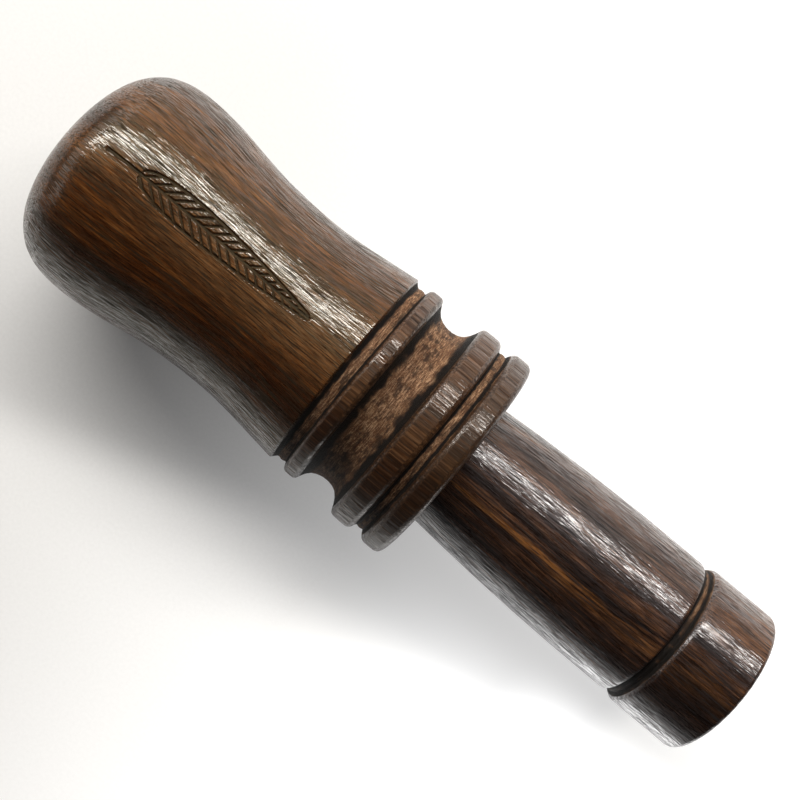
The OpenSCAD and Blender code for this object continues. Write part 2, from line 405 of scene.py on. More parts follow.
        # the film has sunk into the fibres, which break it up
        sunk = g.noise(g.vec("MULTIPLY", w, (0.34, 5.4, 5.4)), detail=2.0, rough=0.6)
        film = g.remap(sunk, 0.485, 0.555, 1.0, 0.08, smooth=True)
        film = g.math("MULTIPLY", film, g.math("SUBTRACT", 1.0, g.math("MULTIPLY", holes, 0.9)))
        if kind == "crest":
            # painted light: the rings' dull tone is paler towards +Y, where the key light falls
            rib_lit_side = g.math("ADD", rib, g.math("MULTIPLY", y, 0.0034))
            dull = g.ramp(rib_lit_side, [(0.36, (0.0070, 0.0034, 0.0020)), (0.50, (0.0220, 0.0100, 0.0048)), (0.66, (0.080, 0.042, 0.021))])
            colour = g.mix(0.62, colour, dull)
            colour = g.mix(g.remap(x, 5.2, 7.4, 0.0, 0.36), colour, (0.0060, 0.0036, 0.0024))
            film = g.math("MULTIPLY", film, g.remap(rib, 0.445, 0.505, 0.12, 1.0))
        g.put(g.bsdf.inputs["Coat Weight"], film)
        rough = g.remap(film, 0.15, 0.90, 0.43, 0.30 if kind == "crest" else 0.27)
        g.put(g.bsdf.inputs["Roughness"], g.math("MAXIMUM", rough, g.math("MULTIPLY", holes, 0.80)))
        g.bsdf.inputs["Coat Roughness"].default_value = 0.10 if kind == "crest" else 0.12
        g.put(g.bsdf.inputs["Coat Normal"], normal)
    g.put(g.bsdf.inputs["Base Color"], colour)
    return g.mat


AMBER, STRAW, CLEAR = (1.0, 0.88, 0.56), (1.0, 0.87, 0.74), (0.98, 0.94, 1.0)
wood_barrel = wood("wood_barrel", (64.0, 30.0), 0.0, RED_BROWN, AMBER, warm=0.3, streak=0.5, lit_side_lean=0.0034)
wood_barrel_cut = wood("wood_barrel_groove", (64.0, 30.0), 0.0, RED_BROWN, AMBER, kind="cut")
wood_barrel_burnt = wood("wood_barrel_carving", (64.0, 30.0), 0.0, RED_BROWN, AMBER, kind="burnt")
wood_barrel_end = wood("wood_barrel_end", (64.0, 30.0), 0.0, RED_BROWN, AMBER, kind="end")
wood_barrel_crest = wood("wood_barrel_rings", (64.0, 30.0), 0.0, RED_BROWN, STRAW, kind="crest", warm=0.3, streak=0.5, lit_side_lean=0.0034)
wood_insert = wood("wood_insert", (58.0, 44.0), 210.0, BLACK_BROWN, CLEAR, warm=1.0, streak=1.0, lit_side_lean=0.0105, turn=-18, bore=12.3)
wood_insert_cut = wood("wood_insert_groove", (58.0, 44.0), 210.0, BLACK_BROWN, CLEAR, kind="cut", turn=-18, bore=12.3)
wood_insert_end = wood("wood_insert_end", (58.0, 44.0), 210.0, BLACK_BROWN, CLEAR, kind="end", turn=-18, bore=12.3)

# ---------------------------------------------------------------- outlines, mm from the rim and radius
GRIP = [(0, 11), (0.25, 12.2), (0.95, 13.9), (1.8, 15.3), (3, 16.6), (4.6, 17.75), (6.7, 18.55), (9, 18.95),
        (12, 19.05), (15.5, 18.8), (19, 18.35), (23, 17.65), (27, 17.05), (31, 16.7), (35, 16.5), (39.5, 16.5),
        (44, 16.85), (48.5, 17.4), (53.3, 18)]
GROOVE_1 = [(53.75, 17.4), (54.15, 17.02), (54.45, 17.0), (54.6, 17.16), (55.3, 17.14), (55.5, 16.98), (55.7, 17.0),
            (55.9, 17.6)]
RING_A = [(56.1, 18), (56.5, 18.22), (57.3, 18.24), (58.05, 18.22), (58.45, 18)]
COVE = [(58.75, 17.3), (59.2, 16.5), (59.8, 15.8), (60.6, 15.4), (61.5, 15.15), (62.6, 15.1), (63.6, 15.28),
        (64.4, 15.7), (65.1, 16.5), (65.6, 17.4), (65.9, 18.2)]
RING_B = [(66.2, 18.6), (66.7, 18.74), (67.9, 18.78), (69.2, 18.75), (69.8, 18.4)]
GROOVE_2 = [(70.05, 17.75), (70.3, 17.38), (70.5, 17.36), (70.62, 17.52), (71.3, 17.52), (71.45, 17.36), (71.6, 17.4),
            (71.8, 17.9)]
RING_C = [(72.3, 18.6), (72.9, 18.86), (73.9, 18.88), (74.9, 18.86), (75.5, 18.6), (75.8, 18.1), (75.9, 17.6)]

TUBE = [(0, 11.05), (4, 11.35), (8, 11.62), (14, 11.95), (20, 12.2), (27, 12.38), (33, 12.45), (39.5, 12.45)]
GROOVE_3 = [(39.95, 12.38), (40.12, 12.0), (40.3, 11.86), (40.5, 11.86), (40.62, 11.98), (41.05, 12.02),
            (41.2, 11.9), (41.4, 11.94), (41.62, 12.3), (41.8, 12.55)]
COLLAR = [(42.2, 12.88), (42.7, 12.97), (48, 12.97), (53.2, 12.97), (53.6, 12.8), (53.8, 12.4)]


def feather(s, t):
    """Depth, 0 to 1, of a carved feather that lies along s, mm, about t = 0."""
    u = (s - 8.0) / 38.5
    mid = 0.55 * np.sin(2.6 * u + 0.3) - 0.25
    h = t - mid
    body = np.clip((u - 0.16) / 0.84, 0, 1)
    half = 2.55 * np.sin(np.pi * body ** 0.62) ** 0.72 * (1 - 0.25 * body) + 0.02
    half = np.where(u < 0.16, 0, half)
    side = np.abs(h)
    line = lambda dist, w: 1 - smoothstep(0.40 * w, w, dist)
    shaft = line(side, 0.36) * smoothstep(0.0, 0.01, u) * (1 - smoothstep(0.975, 0.985, u))
    edge = line(np.abs(side - half), 0.31) * (half > 0.3)
    lag = s - 1.15 * side ** 1.05
    k = lag / 1.75 + np.where(h > 0, 0.0, 0.45)
    barb = line(np.abs((k % 1) - 0.5) * 1.75 * 0.70, 0.29) * (side < half) * (half > 0.35)
    inside = (u > 0) & (u < 1.0)
    return np.where(inside, np.maximum(np.maximum(shaft, edge), barb), 0)


# ---------------------------------------------------------------- barrel
def make_barrel():
    grip = resample(spline(GRIP, 12), 0.12)
    rest = [grip[-1]] + GROOVE_1 + RING_A + COVE + RING_B + GROOVE_2 + RING_C
    rest = soften(resample(rest, 0.085), 5)
    face = resample([(75.9, 17.6), (75.9, 10.5)], 1.2)[1:]
    lead = [(75.86, 10.28), (75.6, 10.02), (75.3, 9.72), (75.12, 9.56), (74.9, 9.525)]
    inner = ([(72, 9.525), (66, 9.525), (60, 9.525), (55, 9.525), (52.35, 9.525), (52.2, 9.42), (52.2, 8.85),
              (52.05, 8.75), (48, 8.75), (42, 8.75), (36, 8.75), (30, 8.75), (24, 8.75), (18, 8.75), (15.1, 8.75),
              (15.0, 8.82), (14.95, 9.0), (12, 9.0), (8, 9.0), (5, 9.0), (3, 9.0)])
    lip = resample(spline([(2.3, 9.0), (1.5, 9.22), (0.8, 9.62), (0.3, 10.1), (0.06, 10.5), (0, 11)], 4), 0.3)[:-1]
    prof = np.vstack([grip, rest[1:], face, lead, inner, lip])
    n_grip, n_out = len(grip), len(grip) + len(rest) - 1

    # columns: close together across the carving
    mid = math.radians(8.3)
    a0, a1 = mid - math.radians(11), mid + math.radians(11)
    ang = np.concatenate([np.linspace(a0, a1, 92), np.linspace(a1, a0 + 2 * math.pi, 172)[1:-1]])
    x = np.repeat(prof[:, :1], len(ang), 1)
    r = np.repeat(prof[:, 1:], len(ang), 1)
    s, ph = x, np.broadcast_to(ang, x.shape)
    t = (ph - mid) * r
    outer = np.zeros(len(prof), bool)
    outer[:n_grip] = True
    carve = np.where(outer[:, None] & (np.abs(ph - mid) < math.radians(11)), feather(s, t), 0)
    r = r - 0.27 * carve
    shade = 0.75 * smoothstep(0.45, 1.0, carve)

    # grooves: material, dark corners, tool lines and small chips on the sharp edges
    cut = np.zeros(len(prof), int)
    for lo, hi in ((53.55, 55.95), (58.7, 65.75), (69.95, 71.95)):
        cut[(prof[:, 0] > lo) & (prof[:, 0] < hi) & (np.arange(len(prof)) < n_out)] = 1
    cut_rows = cut[:, None].astype(bool)
    for lo, hi in ((55.95, 58.7), (65.75, 69.95), (71.95, 75.95)):
        cut[(prof[:, 0] > lo) & (prof[:, 0] < hi) & (np.arange(len(prof)) >= n_grip) & (np.arange(len(prof)) < n_out)] = 4
    lines = value_noise(s * 5.0, ph * 1.3 + 7, 3) - 0.5
    r = np.where(cut_rows, r + 0.035 * lines, r)
    corner = np.zeros(len(prof))
    for c, w in ((53.9, 0.55), (55.85, 0.30), (58.95, 1.15), (65.55, 0.95), (70.15, 0.36), (71.7, 0.34)):
        corner = np.maximum(corner, np.exp(-((prof[:, 0] - c) / w) ** 2))
    corner[n_out:] = 0
    blots = 0.6 * value_noise(ph * 9.0, s * 0.9, 5) + 0.4 * value_noise(ph * 31.0, s * 2.4, 6)
    shade = np.maximum(shade, np.where(corner[:, None] > 0.02, smoothstep(0.16, 0.98, corner[:, None] + 0.8 * (blots - 0.5)), 0) * 0.97)
    for c in (53.3, 56.15, 58.4, 66.0, 69.75, 72.05, 75.6):
        near = np.exp(-((prof[:, 0] - c) / 0.22) ** 2)
        near[n_out:] = 0
        chip = smoothstep(0.66, 0.95, value_noise(ph * 19.0 + c, np.full_like(ph, c * 3.1), 9)) * 0.16
        chip = chip + 0.03 * value_noise(ph * 46.0, s * 3.0, 4)
        r = r - near[:, None] * chip
    # the inside is left as cut by the drill; painted shade darkens it more towards the middle of the bore, away from
    # both openings
    bore_shade = smoothstep(0, 14, prof[:, 0]) * smoothstep(0, 3, 75.9 - prof[:, 0])
    inside = np.arange(len(prof)) >= n_out + len(face)
    shade = np.where(inside[:, None], 0.35 + 0.3 * bore_shade[:, None], shade)
    cut[inside] = 1
    cut[-len(lip):] = 0
    shade[-len(lip):] = 0.15
    cut[n_out:n_out + len(face) - 1] = 3
    r = np.minimum(r, 19.04)
    ob = turned("barrel_turning", x, r, ang, [wood_barrel, wood_barrel_cut, wood_barrel_burnt, wood_barrel_end, wood_barrel_crest], cut, shade,
                patch=(carve > 0.12).astype(float))
    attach(ob, "barrel")
    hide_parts("barrel")
    return ob


# ---------------------------------------------------------------- insert
def make_insert():
    tube = resample(spline(TUBE, 10), 0.4)
    rest = soften(resample([tube[-1]] + GROOVE_3 + COLLAR, 0.085), 2)
    outer = np.vstack([tube, rest[1:]]) + (SHOULDER, 0)
    end = 129.8
    face = [(end, 11.6), (end, 10.4), (end, 9.5)]
    mouth = [(end - 0.12, 9.1), (end - 0.5, 8.72), (end - 0.9, 8.32), (end - 1.15, 8.2), (end - 4, 8.2), (end - 8, 8.2),
             (end - 10.8, 8.2), (end - 11.1, 8.17), (end - 14, 7.47), (end - 18, 6.48), (end - 22, 5.5),
             (end - 25.7, 4.57), (end - 26.2, 4.5), (98, 4.5), (90, 4.5), (82, 4.5), (74, 4.5), (70.2, 4.5),
             (70.0, 4.62), (70.0, 6.25), (69.85, 6.4), (66, 6.4), (60, 6.4), (54, 6.4), (52.5, 6.42), (52.2, 6.7)]
    R = 9.45
    tenon = [(52.2, 8.7), (52.28, 8.95), (52.8, R), (54.4, R), (56.1, R), (56.2, R - 0.08), (56.22, 7.98), (56.3, 7.9),
             (57.2, 7.9), (58.1, 7.9), (58.18, 7.98), (58.2, R - 0.08), (58.3, R), (60.5, R), (63.5, R), (66.6, R),
             (66.7, R - 0.08), (66.72, 7.98), (66.8, 7.9), (67.7, 7.9), (68.6, 7.9), (68.68, 7.98), (68.7, R - 0.08),
             (68.8, R), (71, R), (74, R), (75.85, R), (75.98, R + 0.1), (76.0, 10.2)]
    prof = np.vstack([outer, face, mouth, tenon])
    n_out = len(outer)
    ang = np.linspace(0, 2 * math.pi, 217)[:-1]
    x = np.repeat(prof[:, :1], len(ang), 1)
    r = np.repeat(prof[:, 1:], len(ang), 1)
    ph = np.broadcast_to(ang, x.shape)
    k = np.arange(len(prof))
    cut = np.zeros(len(prof), int)
    cut[(prof[:, 0] > SHOULDER + 40.05) & (prof[:, 0] < SHOULDER + 41.75) & (k < n_out)] = 1
    lines = value_noise(x * 6.0, ph * 1.3 + 7, 13) - 0.5
    r = np.where(cut[:, None].astype(bool), r + 0.03 * lines, r)
    corner = np.zeros(len(prof))
    for c, w in ((SHOULDER + 40.3, 0.36), (SHOULDER + 41.4, 0.32)):
        corner = np.maximum(corner, np.exp(-((prof[:, 0] - c) / w) ** 2))
    corner[n_out:] = 0
    ragged = 0.75 + 0.5 * value_noise(ph * 15.0, x * 1.5, 15)
    shade = np.clip(corner[:, None] * ragged, 0, 0.97)
    # the collar's groove is filled with dark stain; painted light lightens it towards +Y, where the key light falls,
    # and painted shade leaves it darkest on the -Y side
    stain_and_shade = 0.60 + 0.34 * smoothstep(0.25, 0.75, value_noise(ph * 11.0, x * 1.2, 17))
    stain_and_shade = stain_and_shade * (1 - 0.68 * smoothstep(-0.15, 0.75, np.sin(ph)))
    shade = np.where(cut[:, None].astype(bool), np.maximum(shade, stain_and_shade), shade)
    for c in (SHOULDER + 39.9, SHOULDER + 42.1, 129.6):
        near = np.exp(-((prof[:, 0] - c) / 0.2) ** 2)
        near[n_out:] = 0
        chip = smoothstep(0.7, 0.95, value_noise(ph * 17.0 + c, np.full_like(ph, c * 2.3), 19)) * 0.10
        r = r - near[:, None] * (chip + 0.02 * value_noise(ph * 40.0, x * 3.0, 14))
    inside = (k >= n_out + len(face) + 5) & (k < n_out + len(face) + len(mouth))
    shade = np.where(inside[:, None], 0.45, shade)
    cut[inside] = 1
    cut[k >= n_out + len(face) + len(mouth)] = 1
    shade[k >= n_out + len(face) + len(mouth)] = 0.36
    cut[(k >= n_out) & (k < n_out + len(face))] = 2
    cut[-2:] = 2
    ob = turned("insert_turning", x, r, ang, [wood_insert, wood_insert_cut, wood_insert_end], cut, shade)
    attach(ob, "insert")
    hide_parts("insert")
    return ob


make_barrel()
make_insert()


# ---------------------------------------------------------------- sound unit: materials
def moulded_plastic():
    """Ivory moulding: a fine spark-eroded surface, faint flow marks and small dark specks."""
    g = Graph("moulded_ivory")
    p = g.mm()
    flow = g.noise(g.vec("MULTIPLY", p, (0.05, 0.30, 0.30)), detail=2.0, distortion=0.6)
    cloud = g.noise(p, scale=0.55, detail=3.0, rough=0.6)
    tone = g.math("ADD", g.math("MULTIPLY", flow, 0.55), g.math("MULTIPLY", cloud, 0.45))
    colour = g.ramp(tone, [(0.36, (0.49, 0.405, 0.265)), (0.50, (0.57, 0.490, 0.345)), (0.64, (0.64, 0.570, 0.430))])
    speck = g.remap(g.noise(p, scale=2.6, detail=0.0), 0.80, 0.86, smooth=True)
    colour = g.mix(g.math("MULTIPLY", speck, 0.5), colour, (0.16, 0.10, 0.05))
    spark = g.noise(p, scale=7.0, detail=2.0, rough=0.7)
    drag = g.noise(g.vec("MULTIPLY", p, (0.15, 5.0, 5.0)), detail=1.0)
    height = g.math("ADD", spark, g.math("MULTIPLY", drag, 0.5))
    g.put(g.bsdf.inputs["Normal"], g.bump(height, 0.000018, 0.9))
    g.put(g.bsdf.inputs["Roughness"], g.remap(cloud, 0.35, 0.65, 0.36, 0.48))
    g.bsdf.inputs["Specular IOR Level"].default_value = 0.45
    g.put(g.bsdf.inputs["Base Color"], g.mix(g.attribute("shade"), colour, (0.30, 0.20, 0.10)))
    return g.mat


def film(name, tint):
    """Frosted polyester film with fine scratches along its length and a worn, whiter tip."""
    g = Graph(name)
    p = g.mm()
    x, y, z = g.xyz(p)
    cloud = g.noise(p, scale=0.5, detail=3.0, rough=0.6)
    rub = g.noise(g.vec("MULTIPLY", p, (0.20, 3.0, 1.0)), detail=2.0, rough=0.6)
    scratch = g.remap(g.noise(g.vec("MULTIPLY", p, (0.10, 7.0, 1.0)), detail=0.0), 0.70, 0.76, smooth=True)
    colour = g.ramp(g.math("ADD", g.math("MULTIPLY", cloud, 0.7), g.math("MULTIPLY", rub, 0.3)),
                    [(0.38, tuple(c * 0.88 for c in tint)), (0.62, tint)])
    colour = g.mix(g.math("MULTIPLY", scratch, 0.12), colour, (0.86, 0.88, 0.90))
    colour = g.mix(g.math("MULTIPLY", g.attribute("shade"), 0.5), colour, (0.90, 0.91, 0.92))
    height = g.math("SUBTRACT", g.noise(p, scale=6.0, detail=1.0), g.math("MULTIPLY", scratch, 0.4))
    g.put(g.bsdf.inputs["Normal"], g.bump(height, 0.000003, 0.7))
    g.put(g.bsdf.inputs["Roughness"], g.remap(cloud, 0.35, 0.65, 0.30, 0.42))
    g.bsdf.inputs["Specular IOR Level"].default_value = 0.5
    g.bsdf.inputs["Transmission Weight"].default_value = 0.22
    g.bsdf.inputs["IOR"].default_value = 1.6
    g.put(g.bsdf.inputs["Base Color"], colour)
    return g.mat


def cork():
    """Natural cork: pale cells, darker growth lines and pits."""
    g = Graph("natural_cork")
    p = g.mm()
    cell = g.node("ShaderNodeTexVoronoi", feature="F1")
    g.put(cell.inputs["Vector"], p)
    cell.inputs["Scale"].default_value = 2.6
    grain = g.noise(p, scale=1.3, detail=4.0, rough=0.65)
    year = g.noise(g.vec("MULTIPLY", p, (1.1, 0.12, 0.20)), detail=2.0, distortion=0.4)
    tone = g.math("ADD", g.math("MULTIPLY", grain, 0.55), g.math("MULTIPLY", year, 0.45))
    colour = g.ramp(tone, [(0.36, (0.22, 0.110, 0.045)), (0.48, (0.38, 0.215, 0.100)), (0.64, (0.52, 0.330, 0.175))])
    colour = g.mix(0.35, colour, g.ramp(cell.outputs["Distance"], [(0.0, (1.15, 1.12, 1.08)), (0.9, (0.62, 0.56, 0.50))]),
                   blend="MULTIPLY")
    colour = g.mix(g.attribute("shade"), colour, (0.052, 0.024, 0.012))
    height = g.math("ADD", grain, g.math("MULTIPLY", cell.outputs["Distance"], -0.7))
    g.put(g.bsdf.inputs["Normal"], g.bump(height, 0.00010, 0.8))
    g.put(g.bsdf.inputs["Roughness"], g.remap(grain, 0.3, 0.7, 0.74, 0.90))
    g.bsdf.inputs["Specular IOR Level"].default_value = 0.25
    g.put(g.bsdf.inputs["Base Color"], colour)
    return g.mat


def rubber():
    """Black nitrile with a grey bloom and a trace of grease."""
    g = Graph("black_rubber")
    p = g.mm()
    bloom = g.noise(p, scale=0.45, detail=4.0, rough=0.6)
    fine = g.noise(p, scale=6.0, detail=2.0)
    colour = g.ramp(bloom, [(0.42, (0.0085, 0.0085, 0.0090)), (0.60, (0.020, 0.020, 0.021)), (0.72, (0.055, 0.055, 0.054))])
    g.put(g.bsdf.inputs["Base Color"], colour)
    g.put(g.bsdf.inputs["Roughness"], g.remap(bloom, 0.35, 0.65, 0.34, 0.56))
    g.put(g.bsdf.inputs["Normal"], g.bump(fine, 0.000012, 0.8))
    g.bsdf.inputs["Specular IOR Level"].default_value = 0.45
    return g.mat


# ---------------------------------------------------------------- sound unit: meshes, in mm until they are placed
def mesh_object(name, verts, faces):
    me = bpy.data.meshes.new(name)
    me.from_pydata([tuple(map(float, v)) for v in verts], [], faces)
    bm = bmesh.new()
    bm.from_mesh(me)
    bmesh.ops.recalc_face_normals(bm, faces=bm.faces)
    bm.to_mesh(me)
    bm.free()
    return link(bpy.data.objects.new(name, me))


def apply_modifiers(ob):
    dg = bpy.context.evaluated_depsgraph_get()
    dg.update()
    me = bpy.data.meshes.new_from_object(ob.evaluated_get(dg))
    old = ob.data
    ob.modifiers.clear()
    ob.data = me
    bpy.data.meshes.remove(old)


def combine(ob, other, operation):
    m = ob.modifiers.new("join", "BOOLEAN")
    m.operation, m.solver, m.object = operation, "EXACT", other
    apply_modifiers(ob)
    bpy.data.objects.remove(other)


def lathe(name, profile, segments=160, dz=0.0, seam=0.0):
    """Solid bar about X from points (distance from the rim, radius). seam: height of the line on its two sides."""
    verts, faces = [], []
    for x, r in profile:
        for j in range(segments):
            a = 2 * math.pi * j / segments
            q = r + (seam if j in (segments // 4, 3 * segments // 4) else 0)
            verts.append((X0 + x, q * math.sin(a), AX + dz + q * math.cos(a)))
    n = len(profile)
    for i in range(n - 1):
        for j in range(segments):
            k = (j + 1) % segments
            faces.append((i * segments + j, i * segments + k, (i + 1) * segments + k, (i + 1) * segments + j))
    faces.append(tuple(range(segments)))
    faces.append(tuple((n - 1) * segments + j for j in range(segments)))
    return mesh_object(name, verts, faces)


def drawn_out(name, outline, axis, lo, hi):
    """Outline drawn out along an axis: (distance, height) along Y, or (Y, height) along X; heights from the call's axis."""
    n = len(outline)
    if axis == "Y":
        verts = [(X0 + a, y, AX + h) for y in (lo, hi) for a, h in outline]
    else:
        verts = [(X0 + x, a, AX + h) for x in (lo, hi) for a, h in outline]
    faces = [tuple(range(n)), tuple(range(n, 2 * n))]
    faces += [(i, (i + 1) % n, n + (i + 1) % n, n + i) for i in range(n)]
    return mesh_object(name, verts, faces)


def place(ob, material, body, node, angle=35, soft=None):
    """Millimetres to metres, rounded edges, then onto its body in place of its CAD node."""
    ob.data.transform(Matrix.Scale(MM, 4))
    if soft:
        m = ob.modifiers.new("round", "BEVEL")
        m.width, m.segments, m.limit_method = soft * MM, 2, "ANGLE"
        m.angle_limit = math.radians(angle)
        m.use_clamp_overlap = True
        apply_modifiers(ob)
    me = ob.data
    me.materials.clear()
    me.materials.append(material)
    me.polygons.foreach_set("use_smooth", np.ones(len(me.polygons), bool))
    me.set_sharp_from_angle(angle=math.radians(angle))
    me.update()
    if body:
        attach(ob, body)
    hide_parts(node)
    return ob


def make_tone_board():
    r = 6.35
    groove = lambda c: [(c - 0.42, r), (c - 0.30, r - 0.20), (c + 0.30, r - 0.20), (c + 0.42, r)]
    ob = lathe("tone_board_moulding", [(BOARD_TIP, r), (SLOT_BACK + 0.6, r)] + groove(64.6) + groove(67.3)
               + [(69.25, r), (BOARD_END, r - 0.42)], seam=0.035)
    flat_end, c = BOARD_TIP + 18, 118.0
    curve = [(flat_end - d, TABLE - c + math.sqrt(c * c - d * d)) for d in np.linspace(0.75, 18, 24)]
    side = [(BOARD_TIP, -4.4), (BOARD_TIP + 12, -r - 1), (BOARD_END + 1, -r - 1), (BOARD_END + 1, r + 1),
            (SLOT_BACK, r + 1), (SLOT_BACK, TABLE), (flat_end, TABLE)] + curve
    combine(ob, drawn_out("side", side, "Y", -12.7, 12.7), "INTERSECT")
    # tone channel: open trough, then a round passage through the root
    w = 2.6
    trough = [(-w, w + 1), (-w, TABLE - w)]
    trough += [(-w * math.cos(a), TABLE - w - w * math.sin(a)) for a in np.linspace(0, math.pi, 25)[1:-1]]
    trough += [(w, TABLE - w), (w, w + 1)]
    combine(ob, drawn_out("trough", trough, "X", BOARD_TIP + 4, SLOT_BACK - 0.1), "DIFFERENCE")
    combine(ob, lathe("passage", [(SLOT_BACK - 1.0, w - 0.12), (BOARD_END + 1, w - 0.12)], 64, TABLE - w), "DIFFERENCE")
    # ejector-pin marks: one on the root's end, two under the board
    combine(ob, lathe("pin", [(BOARD_END - 0.14, 1.1), (BOARD_END + 1, 1.1)], 48, 3.8), "DIFFERENCE")
    for x in (38.0, 54.0):
        pin = mesh_object("pin", [(X0 + x + 1.3 * math.cos(a), 1.3 * math.sin(a), z)
                                  for z in (AX - r - 1, AX - r + 0.17) for a in (np.arange(48) + 0.5) * math.pi / 24],
                          [tuple(range(48)), tuple(range(48, 96))]
                          + [(j, (j + 1) % 48, 48 + (j + 1) % 48, 48 + j) for j in range(48)])
        combine(ob, pin, "DIFFERENCE")
    place(ob, moulded_plastic(), "sound_board", "tone_board", soft=0.11)
    # darker the deeper into the tone channel, in the trough and the passage through the root
    co = np.array([v.co for v in ob.data.vertices]) / MM - (X0, 0, AX)
    deep = smoothstep(0.3, 3.5, TABLE - co[:, 2]) * (np.abs(co[:, 1]) < 2.75) * (np.hypot(co[:, 1], co[:, 2]) < 6.0)
    a = ob.data.attributes.new("shade", "FLOAT", "POINT")
    a.data.foreach_set("value", (0.30 * deep).astype(np.float32))
    return ob


def make_reed(name, node, length, level, material, dimple):
    """Thin film with a bowed tip, in close rows along its length."""
    back, half, t = SLOT_BACK - 0.2, 5.5, 0.25
    tip, bow, c = back - length, 14.0, 0.045
    z0 = TABLE + level
    y = np.concatenate([[-half], [-half + c], np.linspace(-half + 0.45, half - 0.45, 27), [half - c], [half]])
    bowed = tip + bow - np.sqrt(bow * bow - y * y)
    s = np.concatenate([[0, c / length], np.linspace(0.4 / length, 1 - 0.4 / length, 118), [1 - c / length, 1]])
    n, m = len(s), len(y)
    x = bowed[None, :] * (1 - s[:, None]) + back * s[:, None]
    yy = np.broadcast_to(y, x.shape)
    rim = np.ones((n, m))                       # corners lose a little of the thickness
    rim[[0, -1], :] = 0
    rim[:, [0, -1]] = 0
    top, low = z0 + t - c * (1 - rim), z0 + c * (1 - rim)
    if dimple:
        top = top - 0.11 * np.exp(-((np.hypot(x - dimple, yy) / 0.62) ** 4))
    co = np.concatenate([np.stack([X0 + x, yy, AX + top], -1).reshape(-1, 3), np.stack([X0 + x, yy, AX + low], -1).reshape(-1, 3)])
    i, j = np.meshgrid(np.arange(n - 1), np.arange(m - 1), indexing="ij")
    q = (i * m + j).ravel()
    faces = [(a, a + m, a + m + 1, a + 1) for a in q] + [(a + n * m, a + n * m + 1, a + n * m + m + 1, a + n * m + m) for a in q]
    ring = ([(0, k) for k in range(m)] + [(k, m - 1) for k in range(1, n)] + [(n - 1, k) for k in range(m - 2, -1, -1)]
            + [(k, 0) for k in range(n - 2, 0, -1)])
    ids = [a * m + b for a, b in ring]
    faces += [(ids[k], ids[(k + 1) % len(ids)], ids[(k + 1) % len(ids)] + n * m, ids[k] + n * m) for k in range(len(ids))]
    ob = mesh_object(name, co, faces)
    a = ob.data.attributes.new("shade", "FLOAT", "POINT")
    worn = smoothstep(1.6, 0.2, x - bowed[None, :]) * 0.8
    a.data.foreach_set("value", np.concatenate([worn.ravel()] * 2).astype(np.float32))
    place(ob, material, None, node, angle=50)
    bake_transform(ob)
    return ob


def noise3(p, seed, size=32):
    """Smooth noise from 0 to 1 in space."""
    t = table_noise((size, size, size), seed)
    k = np.floor(p).astype(int)
    f = p - k
    f = f * f * (3 - 2 * f)
    out = 0
    for dx in (0, 1):
        for dy in (0, 1):
            for dz in (0, 1):
                w = ((f[..., 0] if dx else 1 - f[..., 0]) * (f[..., 1] if dy else 1 - f[..., 1])
                     * (f[..., 2] if dz else 1 - f[..., 2]))
                out = out + w * t[(k[..., 0] + dx) % size, (k[..., 1] + dy) % size, (k[..., 2] + dz) % size]
    return out


